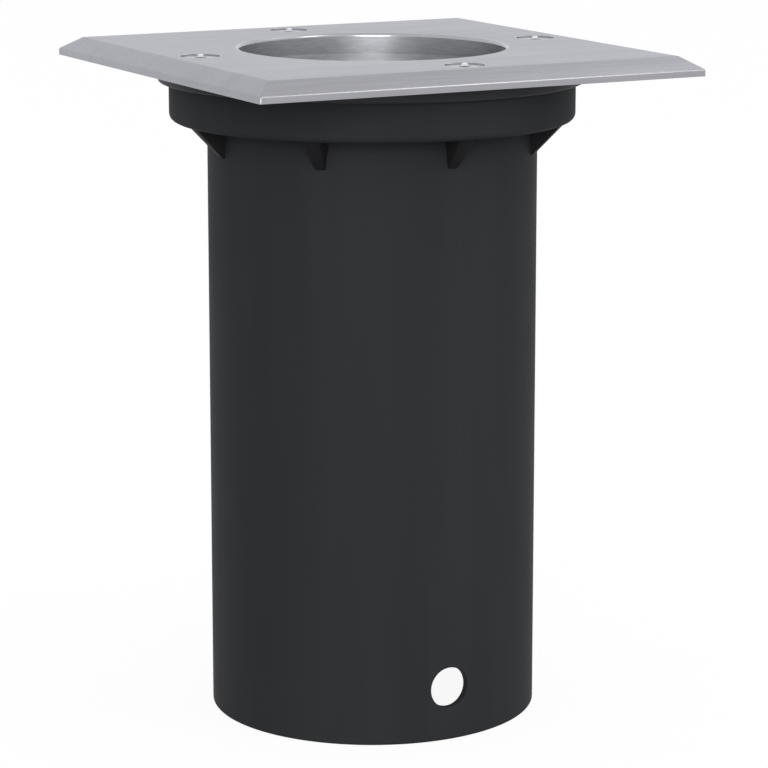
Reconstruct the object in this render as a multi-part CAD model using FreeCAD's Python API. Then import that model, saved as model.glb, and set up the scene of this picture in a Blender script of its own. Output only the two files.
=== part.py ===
import FreeCAD, Part
import math
import os

# In-ground well light with a square steel cover. Millimetres, +Z up, origin at the
# centre of the sleeve's foot. The cable hole faces -Y.

# --- cover plate ---------------------------------------------------------------
PLATE_SIDE = 110.0
PLATE_TOP_Z = 155.0
PLATE_EDGE_H = 1.5            # upright edge under the bevel
BEVEL_RISE = 2.8
BEVEL_RUN = 4.35
PLATE_EDGE_EASE = 0.12        # narrow flat that breaks each edge of the bevel
APERTURE_EDGE = 0.4           # broken edge round the light's way out
RELIEF_DEPTH = 0.4            # recess under the plate, over the housing's flange
RELIEF_GAP = 0.8
RIM_WALL = 1.4                # lip round the aperture that reaches down to the glass
RIM_GLASS_GAP = 0.15
RIM_GASKET_GAP = 0.4

# --- cover screws --------------------------------------------------------------
SCREW_INSET = 2.3             # screw circle outside the housing's head
SCREW_COUNT = 4
SCREW_HEAD_R = 4.2
SCREW_HEAD_RIM = 0.4
SCREW_R = 2.0
SCREW_L = 6.4
SCREW_HOLE_GAP = 0.25
SCREW_SUNK = 0.35
SINK_MOUTH_GAP = 0.3
SCREW_SOCKET_AF = 2.5
SCREW_SOCKET_DEPTH = 1.4
BLIND_HOLE_SPARE = 0.2
THREAD_GAP = 0.05

# --- glass and gasket ----------------------------------------------------------
GLASS_T = 5.0
GLASS_BEVEL = 0.4
GASKET_LIP_T = 0.7
GASKET_WALL = 1.6
GASKET_LIP_W = 2.7
GASKET_POCKET_GAP = 0.1
GASKET_LEDGE_GAP = 0.3        # from the pot's bore to the gasket's bore

# --- mounting sleeve -----------------------------------------------------------
TUBE_R = 38.0
SLEEVE_WALL = 2.0
TUBE_FOOT_EDGE = 0.5
COLLAR_H = 9.1                # from the collar's underside to the sleeve's top
COLLAR_ROUND = 1.6
COLLAR_TOP_EDGE = 0.3
RIB_COUNT = 8
RIB_FOOT_T = 2.2
RIB_TOP_T = 4.0
RIB_FOOT_REACH = 0.4
RIB_REACH = 7.0
RIB_DROP = 7.0
CABLE_HOLE_R = 4.7
CABLE_HOLE_Z = 12.3

# --- lamp housing --------------------------------------------------------------
FLANGE_T = 3.4
FLANGE_REACH = 2.5            # past the collar on which it rests
HEAD_WALL = 4.3               # round the glass pocket
HEAD_H = 6.5
HEAD_COLLAR_GAP = 3.7
POT_TUBE_GAP = 1.8
POT_TAPER = 1.0
POT_WALL = 2.2
POT_FLOOR_T = 3.0
POT_FOOT_EDGE = 2.0

# --- lamp ----------------------------------------------------------------------
LAMP_R = 25.2
LAMP_L = 50.0                 # lens to the foot of the base, without the pins
LAMP_GLASS_GAP = 4.4
LAMP_RIM_H = 6.0
LAMP_WALL = 1.6
LAMP_BOWL_H = 32.0
LAMP_NECK_R = 12.6
LAMP_GROOVE_COUNT = 16
LAMP_GROOVE_W = 1.6
LAMP_GROOVE_DEPTH = 1.0
LAMP_LENS_T = 2.2
LAMP_LENS_GAP = 0.2
BASE_R = 12.0
BASE_H = 10.0
PIN_SPACING = 10.0
PIN_NECK_R = 1.6
PIN_NECK_L = 4.5
PIN_HEAD_R = 2.5
PIN_HEAD_H = 2.2
PIN_SEAT_DEPTH = 4.0
PIN_SEAT_GAP = 0.02
TWIST_DEG = 25.0              # turn that frees the lamp

# --- lamp holder ---------------------------------------------------------------
HOLDER_R = 14.0
HOLDER_H = 18.7
HOLDER_EDGE = 1.0
LAMP_SEAT_GAP = 0.3
TWIST_SLOT_GAP = 0.3
ENTRY_GAP = 0.3
SLOT_ROOF_T = 3.4
CAVITY_GAP = 0.6
CONTACT_T = 0.8
CONTACT_W = 3.6
CONTACT_REACH_IN = 2.5
CONTACT_REACH_OUT = 10.0
CONTACT_PIN_GAP = 0.1
CONTACT_POCKET_GAP = 0.15
LEAD_X = 8.0
CRIMP_R = 1.4
CRIMP_L = 5.4
LEAD_CHANNEL_R = 1.7
HOLDER_SCREW_Y = 9.8
HOLDER_SCREW_R = 1.5
HOLDER_SCREW_HEAD_R = 2.75
HOLDER_SCREW_HEAD_H = 2.0
HOLDER_SCREW_SUNK = 0.6
HOLDER_HOLE_GAP = 0.2

# --- bracket -------------------------------------------------------------------
BRACKET_T = 1.5
BRACKET_TOP_W = 28.0
BRACKET_LEG_W = 14.0
BRACKET_H = 18.0              # housing floor to the holder's seat
FOOT_L = 8.5
FOOT_SCREW_INSET = 6.6        # from the pot's bore
FOOT_SCREW_SPACE = 4.4        # from the leg
FOOT_SCREW_R = 1.5
FOOT_SCREW_HEAD_R = 2.75
FOOT_SCREW_HEAD_H = 2.0
FOOT_SCREW_L = 5.0
FOOT_HOLE_GAP = 0.2
FOOT_POT_GAP = 0.2
FLOOR_BOSS_R = 3.4            # raised pads on the housing floor under the feet
FLOOR_BOSS_H = 2.0
LEAD_HOLE_R = 2.2

# --- terminal block ------------------------------------------------------------
POLE_PITCH = 8.0
POLE_COUNT = 3
BLOCK_L = 25.0
BLOCK_D = 14.0
BLOCK_H = 14.0
BLOCK_NEAR_Y = -6.5           # face of the block on the lamp holder's side
BLOCK_STEP_H = 4.0
BLOCK_STEP_D = 3.0
CLAMP_Z_ABOVE_FLOOR = 7.0
CLAMP_R = 2.4
CLAMP_BORE_R = 1.3
CLAMP_INSET = 1.2
CLAMP_STOP = 0.6              # step in the block that keeps each tube in
CLAMP_GAP = 0.05
CLAMP_SCREW_R = 1.2
CLAMP_SCREW_INSET = 4.0       # from the block's faces
CLAMP_SCREW_SUNK = 0.5
CLAMP_SCREW_GAP = 0.1
SLOT_W = 0.6
SLOT_DEPTH = 0.6
BLOCK_SCREW_X = 4.0
BLOCK_SCREW_R = 1.25
BLOCK_SCREW_HEAD_R = 1.9
BLOCK_SCREW_HEAD_H = 1.6
BLOCK_SCREW_BITE = 1.8
BLOCK_HOLE_GAP = 0.15

# --- wires and earth -----------------------------------------------------------
WIRE_R = 0.9
WIRE_BEND_R = 6.0
WIRE_IN_CLAMP = 2.4
EARTH_TURN = 138.0            # round from +X
EARTH_INSET = 5.5             # from the pot's bore
EARTH_BOSS_R = 3.2
EARTH_RING_R = 4.4
EARTH_BARREL_GAP = 0.2        # barrel to the side of the boss
EARTH_RING_T = 0.8
EARTH_BARREL_R = 1.5
EARTH_BARREL_L = 5.0
EARTH_SCREW_R = 1.75
EARTH_SCREW_HEAD_R = 3.2
EARTH_SCREW_HEAD_H = 2.2
EARTH_SCREW_L = 5.0
EARTH_HOLE_GAP = 0.1
EARTH_BEND_R = 10.0

# --- cable gland ---------------------------------------------------------------
GLAND_Y = 15.0
GLAND_THREAD_R = 7.9
GLAND_HOLE_GAP = 0.1
GLAND_HEX_AF = 22.0
GLAND_HEX_H = 5.0
GLAND_NECK_R = 7.6
GLAND_NECK_L = 11.8
GLAND_BORE_R = 4.8
LOCKNUT_AF = 22.0
LOCKNUT_H = 5.0
LOCKNUT_THREAD_SHOWN = 1.0
WASHER_R = 10.6
WASHER_T = 1.8
WASHER_GAP = 0.1
SEAL_R = 6.0
SEAL_BORE_R = 4.0
SEAL_L = 9.5
SEAL_SEAT_GAP = 0.05
SEAL_PROUD = 1.5
CAP_AF = 20.0
CAP_H = 16.0
CAP_BORE_R = 4.5
CAP_MOUTH_L = 4.0
CAP_CONE_H = 3.5
CAP_TIP_R = 7.0

# --- places worked out from the sizes above --------------------------------------
Z_AXIS = FreeCAD.Vector(0, 0, 1)
HALF = 0.5
FULL_TURN = 360.0
HEX_SIDES = 6
NEAR = 1e-4                   # for picking an edge by its size and place

# outwards from the tube
tube_bore_r = TUBE_R - SLEEVE_WALL
pot_top_r = tube_bore_r - POT_TUBE_GAP
pot_foot_r = pot_top_r - POT_TAPER
pot_bore_top_r = pot_top_r - POT_WALL
pot_bore_foot_r = pot_foot_r - POT_WALL
gasket_inner_r = pot_bore_top_r + GASKET_LEDGE_GAP
glass_r = gasket_inner_r + GASKET_LIP_W
gasket_r = glass_r + GASKET_WALL
pocket_r = gasket_r + GASKET_POCKET_GAP
aperture_rim_r = gasket_inner_r - RIM_GASKET_GAP
aperture_r = aperture_rim_r - RIM_WALL
head_r = pocket_r + HEAD_WALL
collar_bore_r = head_r + HEAD_COLLAR_GAP
collar_r = collar_bore_r + SLEEVE_WALL
flange_r = collar_r + FLANGE_REACH
relief_r = flange_r + RELIEF_GAP
screw_circle_r = head_r + SCREW_INSET

# down from the cover
plate_base_z = PLATE_TOP_Z - BEVEL_RISE - PLATE_EDGE_H
housing_top_z = plate_base_z + RELIEF_DEPTH
screw_top_z = PLATE_TOP_Z - SCREW_SUNK
sleeve_top_z = housing_top_z - FLANGE_T
collar_base_z = sleeve_top_z - COLLAR_H
head_base_z = sleeve_top_z - HEAD_H
glass_top_z = housing_top_z - GASKET_LIP_T
glass_base_z = glass_top_z - GLASS_T
pocket_floor_z = glass_base_z - GASKET_LIP_T
lamp_front_z = glass_base_z - LAMP_GLASS_GAP
lamp_rim_z = lamp_front_z - LAMP_RIM_H
lamp_base_z = lamp_front_z - LAMP_L
lamp_neck_z = lamp_base_z + BASE_H
holder_top_z = lamp_base_z - LAMP_SEAT_GAP
holder_seat_z = holder_top_z - HOLDER_H
floor_z = holder_seat_z - BRACKET_H
foot_seat_z = floor_z + FLOOR_BOSS_H
pot_base_z = floor_z - POT_FLOOR_T

# bracket, lamp pins, terminals, earth and gland
foot_screw_x = pot_bore_foot_r - FOOT_SCREW_INSET
bracket_reach = foot_screw_x - FOOT_SCREW_SPACE
pin_x = PIN_SPACING * HALF
pin_head_top_z = lamp_base_z - PIN_NECK_L
pin_tip_z = pin_head_top_z - PIN_HEAD_H
contact_top_z = pin_tip_z - CONTACT_PIN_GAP
contact_base_z = contact_top_z - CONTACT_T
crimp_end_z = contact_base_z - CRIMP_L
clamp_z = floor_z + CLAMP_Z_ABOVE_FLOOR
block_far_y = BLOCK_NEAR_Y - BLOCK_D
block_mid_y = (BLOCK_NEAR_Y + block_far_y) * HALF
block_top_z = floor_z + BLOCK_H
earth_boss_top_z = clamp_z - EARTH_RING_T * HALF
earth_x = (pot_bore_foot_r - EARTH_INSET) * math.cos(math.radians(EARTH_TURN))
earth_y = (pot_bore_foot_r - EARTH_INSET) * math.sin(math.radians(EARTH_TURN))
gland_hex_top_z = pot_base_z - WASHER_T
gland_hex_base_z = gland_hex_top_z - GLAND_HEX_H
gland_neck_end_z = gland_hex_base_z - GLAND_NECK_L
seal_top_z = gland_neck_end_z - SEAL_PROUD + SEAL_L
seal_base_z = gland_neck_end_z - SEAL_PROUD
cap_base_z = seal_base_z - CAP_MOUTH_L


# --- helpers -------------------------------------------------------------------
def cylinder(radius, low_z, high_z, x=0.0, y=0.0):
    return Part.makeCylinder(radius, high_z - low_z, FreeCAD.Vector(x, y, low_z))


def ring(outer_r, inner_r, low_z, high_z, x=0.0, y=0.0):
    return cylinder(outer_r, low_z, high_z, x, y).cut(cylinder(inner_r, low_z, high_z, x, y))


def cone(low_r, high_r, low_z, high_z, x=0.0, y=0.0):
    return Part.makeCone(low_r, high_r, high_z - low_z, FreeCAD.Vector(x, y, low_z))


def box(low, high):
    size = [high[i] - low[i] for i in range(3)]
    return Part.makeBox(*size, FreeCAD.Vector(*low))


def hex_corner_r(across_flats):
    return across_flats * HALF / math.cos(math.pi / HEX_SIDES)


def hexagon(across_flats, low_z, high_z, x=0.0, y=0.0):
    corner_r = hex_corner_r(across_flats)
    corners = []
    for side in range(HEX_SIDES + 1):
        angle = math.radians(FULL_TURN * side / HEX_SIDES)
        corners.append(FreeCAD.Vector(
            x + corner_r * math.cos(angle), y + corner_r * math.sin(angle), low_z))
    face = Part.Face(Part.makePolygon(corners))
    return face.extrude(FreeCAD.Vector(0, 0, high_z - low_z))


def revolved(profile):
    """Solid of revolution about Z from a closed outline of (radius, height) points."""
    points = [FreeCAD.Vector(r, 0, z) for r, z in profile]
    points.append(points[0])
    face = Part.Face(Part.makePolygon(points))
    return face.revolve(FreeCAD.Vector(0, 0, 0), Z_AXIS, FULL_TURN)


def turned(shape, degrees):
    copy = shape.copy()
    copy.rotate(FreeCAD.Vector(0, 0, 0), Z_AXIS, degrees)
    return copy


def around(shape, count):
    return [turned(shape, FULL_TURN * step / count) for step in range(count)]


def circle_edges(shape, radius, height):
    """The round edges of one radius that lie flat at one height."""
    found = []
    for edge in shape.Edges:
        curve = edge.Curve
        if isinstance(curve, Part.Circle) and abs(curve.Radius - radius) < NEAR:
            if abs(curve.Center.z - height) < NEAR and abs(abs(curve.Axis.z) - 1) < NEAR:
                found.append(edge)
    return found


def square(side, height):
    reach = side * HALF
    corners = [(-reach, -reach), (reach, -reach), (reach, reach), (-reach, reach), (-reach, -reach)]
    return Part.makePolygon([FreeCAD.Vector(x, y, height) for x, y in corners])


def arc_slot(half_width, low_z, high_z, sweep):
    """Curved slot on the pin circle, from the locked place round by the sweep angle."""
    sector = Part.makeCylinder(
        pin_x + half_width, high_z - low_z, FreeCAD.Vector(0, 0, low_z), Z_AXIS, sweep)
    sector = sector.cut(cylinder(pin_x - half_width, low_z, high_z))
    locked_end = cylinder(half_width, low_z, high_z, pin_x)
    return sector.fuse([locked_end, turned(locked_end, sweep)])


def tube_along(path, radius):
    """Round bar along a wire whose first edge starts along its own tangent."""
    start = path.Edges[0]
    heading = start.tangentAt(start.FirstParameter)
    section = Part.Wire(Part.makeCircle(radius, start.valueAt(start.FirstParameter), heading))
    return path.makePipeShell([section], True, True)


def quarter_bend(start, corner, end, radius):
    """Straight, arc and straight through three points, with the arc tangent to both."""
    to_start = (start - corner).normalize()
    to_end = (end - corner).normalize()
    half_turn = (math.pi - to_start.getAngle(to_end)) * HALF
    setback = radius * math.tan(half_turn)
    arc_start = corner + to_start * setback
    arc_end = corner + to_end * setback
    bisector = (to_start + to_end).normalize()
    centre = corner + bisector * (radius / math.cos(half_turn))
    arc_middle = centre - bisector * radius
    return Part.Wire([
        Part.LineSegment(start, arc_start).toShape(),
        Part.Arc(arc_start, arc_middle, arc_end).toShape(),
        Part.LineSegment(arc_end, end).toShape(),
    ])


def pan_screw(radius, head_r, head_h, seat_z, length, x, y):
    """Cross-head screw: bevelled head over its seat, plain shank below."""
    top_z = seat_z + head_h
    head = cylinder(head_r, seat_z, top_z, x, y)
    head = head.makeChamfer(head_h * HALF, circle_edges(head, head_r, top_z))
    shank = cylinder(radius, seat_z - length, seat_z, x, y)
    recess = cross_recess(head_r * HALF, top_z, x, y)
    return head.fuse(shank).cut(recess)


def cross_recess(reach, top_z, x, y):
    half = SLOT_W * HALF
    deep_z = top_z - SLOT_DEPTH - SLOT_W
    along_x = box((x - reach, y - half, deep_z), (x + reach, y + half, top_z))
    across = box((x - half, y - reach, deep_z), (x + half, y + reach, top_z))
    return along_x.fuse(across)


# --- mounting sleeve -------------------------------------------------------------
def mounting_sleeve():
    """Tube with a stepped collar, ribs under it and the cable's hole."""
    shell = revolved([
        (tube_bore_r, 0),
        (TUBE_R, 0),
        (TUBE_R, collar_base_z),
        (collar_r, collar_base_z),
        (collar_r, sleeve_top_z),
        (collar_bore_r, sleeve_top_z),
        (collar_bore_r, collar_base_z + SLEEVE_WALL),
        (tube_bore_r, collar_base_z + SLEEVE_WALL),
    ])
    shell = shell.makeFillet(COLLAR_ROUND, circle_edges(shell, collar_r, collar_base_z))
    shell = shell.makeChamfer(COLLAR_TOP_EDGE, circle_edges(shell, collar_r, sleeve_top_z))
    shell = shell.makeChamfer(TUBE_FOOT_EDGE, circle_edges(shell, TUBE_R, 0))
    shell = shell.fuse(around(gusset_rib(), RIB_COUNT)).removeSplitter()
    hole = Part.makeCylinder(
        CABLE_HOLE_R, TUBE_R, FreeCAD.Vector(0, -tube_bore_r * HALF, CABLE_HOLE_Z),
        FreeCAD.Vector(0, -1, 0))
    return shell.cut(hole)


def gusset_rib():
    """Tapered stiffener that spreads from the tube's wall to the collar's underside."""
    root_z = collar_base_z + SLEEVE_WALL * HALF
    return Part.makeLoft([
        rib_section(RIB_FOOT_REACH, RIB_FOOT_T, collar_base_z - RIB_DROP),
        rib_section(RIB_REACH, RIB_TOP_T, collar_base_z),
        rib_section(RIB_REACH, RIB_TOP_T, root_z),
    ], True, True)


def rib_section(reach, thickness, height):
    """Level outline of a rib, from inside the tube's wall outwards."""
    root_r = TUBE_R - SLEEVE_WALL * HALF
    half = thickness * HALF
    corners = [
        (root_r, -half), (TUBE_R + reach, -half), (TUBE_R + reach, half), (root_r, half),
        (root_r, -half),
    ]
    return Part.makePolygon([FreeCAD.Vector(x, y, height) for x, y in corners])


# --- cover -----------------------------------------------------------------------
def cover_plate():
    bevel_base_z = plate_base_z + PLATE_EDGE_H
    ease_run = PLATE_EDGE_EASE * BEVEL_RUN / BEVEL_RISE
    levels = [
        (PLATE_SIDE, plate_base_z),
        (PLATE_SIDE, bevel_base_z - PLATE_EDGE_EASE),
        (PLATE_SIDE - 2 * ease_run, bevel_base_z + PLATE_EDGE_EASE),
        (PLATE_SIDE - 2 * (BEVEL_RUN - ease_run), PLATE_TOP_Z - PLATE_EDGE_EASE),
        (PLATE_SIDE - 2 * (BEVEL_RUN + ease_run), PLATE_TOP_Z),
    ]
    plate = Part.makeLoft([square(side, z) for side, z in levels], True, True)
    rim_base_z = glass_top_z + RIM_GLASS_GAP
    plate = plate.cut(cylinder(relief_r, plate_base_z, housing_top_z))
    plate = plate.fuse(cylinder(aperture_rim_r, rim_base_z, housing_top_z)).removeSplitter()
    plate = plate.cut(cylinder(aperture_r, rim_base_z, PLATE_TOP_Z))
    plate = plate.makeChamfer(APERTURE_EDGE, circle_edges(plate, aperture_r, PLATE_TOP_Z))
    return plate.cut(around(screw_sink(), SCREW_COUNT))


def screw_sink():
    """Countersunk clearance hole for one cover screw."""
    mouth_r = SCREW_HEAD_R + SINK_MOUTH_GAP
    sink_base_z = screw_top_z - SCREW_HEAD_RIM - (SCREW_HEAD_R - SCREW_R)
    mouth = cylinder(mouth_r, sink_base_z + mouth_r - SCREW_R, PLATE_TOP_Z, screw_circle_r)
    sink = cone(SCREW_R, mouth_r, sink_base_z, sink_base_z + mouth_r - SCREW_R, screw_circle_r)
    hole = cylinder(SCREW_R + SCREW_HOLE_GAP, plate_base_z, PLATE_TOP_Z, screw_circle_r)
    return mouth.fuse([sink, hole])


def cover_screw():
    """Countersunk screw with a hexagon socket, on the +X side."""
    rim_z = screw_top_z - SCREW_HEAD_RIM
    neck_z = rim_z - (SCREW_HEAD_R - SCREW_R)
    tip_z = screw_top_z - SCREW_L
    screw = cylinder(SCREW_HEAD_R, rim_z, screw_top_z, screw_circle_r).fuse([
        cone(SCREW_R, SCREW_HEAD_R, neck_z, rim_z, screw_circle_r),
        cylinder(SCREW_R, tip_z, neck_z, screw_circle_r),
    ])
    socket = hexagon(
        SCREW_SOCKET_AF, screw_top_z - SCREW_SOCKET_DEPTH, screw_top_z, screw_circle_r)
    return screw.cut(socket)


def cover_screws():
    return Part.makeCompound(around(cover_screw(), SCREW_COUNT))


# --- glass -----------------------------------------------------------------------
def lens_gasket():
    """U-shaped ring that holds the glass by its edge."""
    return revolved([
        (gasket_inner_r, pocket_floor_z),
        (gasket_r, pocket_floor_z),
        (gasket_r, housing_top_z),
        (gasket_inner_r, housing_top_z),
        (gasket_inner_r, glass_top_z),
        (glass_r, glass_top_z),
        (glass_r, glass_base_z),
        (gasket_inner_r, glass_base_z),
    ])


def lens_glass():
    disc = cylinder(glass_r, glass_base_z, glass_top_z)
    rims = circle_edges(disc, glass_r, glass_base_z) + circle_edges(disc, glass_r, glass_top_z)
    return disc.makeChamfer(GLASS_BEVEL, rims)


# --- lamp housing ----------------------------------------------------------------
def lamp_housing():
    """Die-cast pot: flange, glass pocket, tapered body and a floor with its bosses."""
    pot = revolved([
        (0, pot_base_z),
        (pot_foot_r, pot_base_z),
        (pot_top_r, head_base_z),
        (head_r, head_base_z),
        (head_r, sleeve_top_z),
        (flange_r, sleeve_top_z),
        (flange_r, housing_top_z),
        (pocket_r, housing_top_z),
        (pocket_r, pocket_floor_z),
        (pot_bore_top_r, pocket_floor_z),
        (pot_bore_foot_r, floor_z),
        (0, floor_z),
    ])
    pot = pot.makeChamfer(POT_FOOT_EDGE, circle_edges(pot, pot_foot_r, pot_base_z))
    root_z = floor_z - POT_FLOOR_T * HALF
    pot = pot.fuse([
        cylinder(EARTH_BOSS_R, root_z, earth_boss_top_z, earth_x, earth_y),
        cylinder(FLOOR_BOSS_R, root_z, foot_seat_z, -foot_screw_x),
        cylinder(FLOOR_BOSS_R, root_z, foot_seat_z, foot_screw_x),
    ])
    tip_z = screw_top_z - SCREW_L
    tapped = cylinder(
        SCREW_R + THREAD_GAP, tip_z - BLIND_HOLE_SPARE, housing_top_z, screw_circle_r)
    cuts = around(tapped, SCREW_COUNT)
    cuts.append(cylinder(
        GLAND_THREAD_R + GLAND_HOLE_GAP, pot_base_z, floor_z, 0, GLAND_Y))
    cuts.append(cylinder(
        EARTH_SCREW_R + THREAD_GAP, earth_boss_top_z - EARTH_SCREW_L, earth_boss_top_z,
        earth_x, earth_y))
    cuts.append(cylinder(
        BLOCK_SCREW_R + THREAD_GAP, floor_z - BLOCK_SCREW_BITE - BLIND_HOLE_SPARE, floor_z,
        BLOCK_SCREW_X, block_mid_y))
    for side in (-1, 1):
        cuts.append(cylinder(
            FOOT_SCREW_R + THREAD_GAP, foot_screw_tip_z() - BLIND_HOLE_SPARE, foot_seat_z,
            side * foot_screw_x))
    return pot.cut(cuts)


def foot_screw_tip_z():
    return foot_seat_z + BRACKET_T - FOOT_SCREW_L


# --- lamp ------------------------------------------------------------------------
def lamp_body():
    """Tapered bowl with cooling grooves and a rim that holds the lens."""
    bore_r = LAMP_R - LAMP_WALL
    lens_seat_z = lamp_front_z - LAMP_LENS_T
    bowl_floor_z = lamp_rim_z - LAMP_BOWL_H + LAMP_WALL
    body = revolved([
        (0, lamp_neck_z),
        (LAMP_NECK_R, lamp_neck_z),
        (LAMP_R, lamp_rim_z),
        (LAMP_R, lamp_front_z),
        (bore_r, lamp_front_z),
        (bore_r, lens_seat_z),
        (bore_r - LAMP_WALL, lens_seat_z),
        (LAMP_NECK_R - LAMP_WALL, bowl_floor_z),
        (0, bowl_floor_z),
    ])
    return body.cut(around(cooling_groove(), LAMP_GROOVE_COUNT))


def cooling_groove():
    """Upright slot in the bowl's outside, with a floor that follows its taper."""
    half_w = LAMP_GROOVE_W * HALF
    slab = box(
        (0, -half_w, lamp_neck_z + LAMP_RIM_H),
        (LAMP_R + LAMP_WALL, half_w, lamp_rim_z - LAMP_WALL))
    core = cone(
        LAMP_NECK_R - LAMP_GROOVE_DEPTH, LAMP_R - LAMP_GROOVE_DEPTH, lamp_neck_z, lamp_rim_z)
    return slab.cut(core)


def lamp_lens():
    lens_r = LAMP_R - LAMP_WALL - LAMP_LENS_GAP
    return cylinder(lens_r, lamp_front_z - LAMP_LENS_T, lamp_front_z)


def lamp_base():
    base = cylinder(BASE_R, lamp_base_z, lamp_neck_z)
    seats = [
        cylinder(PIN_NECK_R + PIN_SEAT_GAP, lamp_base_z, lamp_base_z + PIN_SEAT_DEPTH, x)
        for x in (-pin_x, pin_x)
    ]
    return base.cut(seats)


def lamp_pins():
    pins = []
    for x in (-pin_x, pin_x):
        neck = cylinder(PIN_NECK_R, pin_head_top_z, lamp_base_z + PIN_SEAT_DEPTH, x)
        pins.append(neck.fuse(cylinder(PIN_HEAD_R, pin_tip_z, pin_head_top_z, x)))
    return Part.makeCompound(pins)


# --- lamp holder -----------------------------------------------------------------
def lamp_holder():
    """Ceramic holder with two curved keyhole slots and the pockets of its contacts."""
    body = cylinder(HOLDER_R, holder_seat_z, holder_top_z)
    body = body.makeChamfer(HOLDER_EDGE, circle_edges(body, HOLDER_R, holder_top_z))
    cavity_r = PIN_HEAD_R + CAVITY_GAP
    cavity_top_z = holder_top_z - SLOT_ROOF_T
    pocket_z = contact_base_z - CONTACT_POCKET_GAP
    slot = arc_slot(PIN_NECK_R + TWIST_SLOT_GAP, cavity_top_z, holder_top_z, TWIST_DEG)
    entry = turned(
        cylinder(PIN_HEAD_R + ENTRY_GAP, cavity_top_z, holder_top_z, pin_x), TWIST_DEG)
    cavity = arc_slot(cavity_r, pocket_z, cavity_top_z, TWIST_DEG)
    half_w = CONTACT_W * HALF + CONTACT_POCKET_GAP
    blade_pocket = box(
        (CONTACT_REACH_IN - CONTACT_POCKET_GAP, -half_w, pocket_z),
        (CONTACT_REACH_OUT + CONTACT_POCKET_GAP, half_w, cavity_top_z))
    channel = cylinder(LEAD_CHANNEL_R, holder_seat_z, pocket_z, LEAD_X)
    one_side = slot.fuse([entry, cavity, blade_pocket, channel])
    head_seat_z = holder_screw_seat_z()
    for side in (-1, 1):
        y = side * HOLDER_SCREW_Y
        body = body.cut([
            cylinder(HOLDER_SCREW_R + HOLDER_HOLE_GAP, holder_seat_z, holder_top_z, 0, y),
            cylinder(HOLDER_SCREW_HEAD_R + HOLDER_HOLE_GAP, head_seat_z, holder_top_z, 0, y),
        ])
    return body.cut(around(one_side, 2))


def holder_screw_seat_z():
    return holder_top_z - HOLDER_SCREW_SUNK - HOLDER_SCREW_HEAD_H


def holder_contacts():
    """Spring blade under each pin with a crimp barrel for its wire."""
    half_w = CONTACT_W * HALF
    blade = box(
        (CONTACT_REACH_IN, -half_w, contact_base_z), (CONTACT_REACH_OUT, half_w, contact_top_z))
    barrel = cylinder(CRIMP_R, crimp_end_z, contact_base_z, LEAD_X)
    contact = blade.fuse(barrel)
    return Part.makeCompound(around(contact, 2))


def holder_screws():
    seat_z = holder_screw_seat_z()
    length = seat_z - (holder_seat_z - BRACKET_T) + HOLDER_SCREW_R
    return Part.makeCompound([
        pan_screw(
            HOLDER_SCREW_R, HOLDER_SCREW_HEAD_R, HOLDER_SCREW_HEAD_H, seat_z, length,
            0, side * HOLDER_SCREW_Y)
        for side in (-1, 1)
    ])


# --- bracket ---------------------------------------------------------------------
def holder_bracket():
    """Folded steel bridge: two feet on the floor, two legs and a seat for the holder."""
    foot_top_z = foot_seat_z + BRACKET_T
    half_leg = BRACKET_LEG_W * HALF
    leg = box(
        (bracket_reach - BRACKET_T, -half_leg, foot_seat_z),
        (bracket_reach, half_leg, holder_seat_z))
    foot = box(
        (bracket_reach, -half_leg, foot_seat_z), (bracket_reach + FOOT_L, half_leg, foot_top_z))
    bridge = bracket_seat().fuse(around(leg.fuse(foot), 2)).removeSplitter()
    bridge = bridge.common(cylinder(pot_bore_foot_r - FOOT_POT_GAP, floor_z, holder_seat_z))
    cuts = [cylinder(LEAD_HOLE_R, floor_z, holder_seat_z, x) for x in (-LEAD_X, LEAD_X)]
    for sign in (-1, 1):
        cuts.append(cylinder(
            HOLDER_SCREW_R + THREAD_GAP, floor_z, holder_seat_z, 0, sign * HOLDER_SCREW_Y))
        cuts.append(cylinder(
            FOOT_SCREW_R + FOOT_HOLE_GAP, floor_z, foot_top_z, sign * foot_screw_x))
    return bridge.cut(cuts)


def bracket_seat():
    """Flat top of the bridge, with round corners down to the legs' width."""
    half_w = BRACKET_TOP_W * HALF
    plate = box(
        (-bracket_reach, -half_w, holder_seat_z - BRACKET_T),
        (bracket_reach, half_w, holder_seat_z))
    corners = [edge for edge in plate.Edges if abs(edge.tangentAt(0).z) > HALF]
    return plate.makeFillet(half_w - BRACKET_LEG_W * HALF, corners)


def bracket_screws():
    return Part.makeCompound([
        pan_screw(
            FOOT_SCREW_R, FOOT_SCREW_HEAD_R, FOOT_SCREW_HEAD_H, foot_seat_z + BRACKET_T,
            FOOT_SCREW_L, side * foot_screw_x, 0)
        for side in (-1, 1)
    ])


# --- terminal block ----------------------------------------------------------------
def pole_places():
    first = -(POLE_COUNT - 1) * POLE_PITCH * HALF
    return [first + POLE_PITCH * step for step in range(POLE_COUNT)]


def clamp_screw_ys():
    return (BLOCK_NEAR_Y - CLAMP_SCREW_INSET, block_far_y + CLAMP_SCREW_INSET)


def along_y(radius, low_y, high_y, x, z):
    return Part.makeCylinder(
        radius, high_y - low_y, FreeCAD.Vector(x, low_y, z), FreeCAD.Vector(0, 1, 0))


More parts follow.
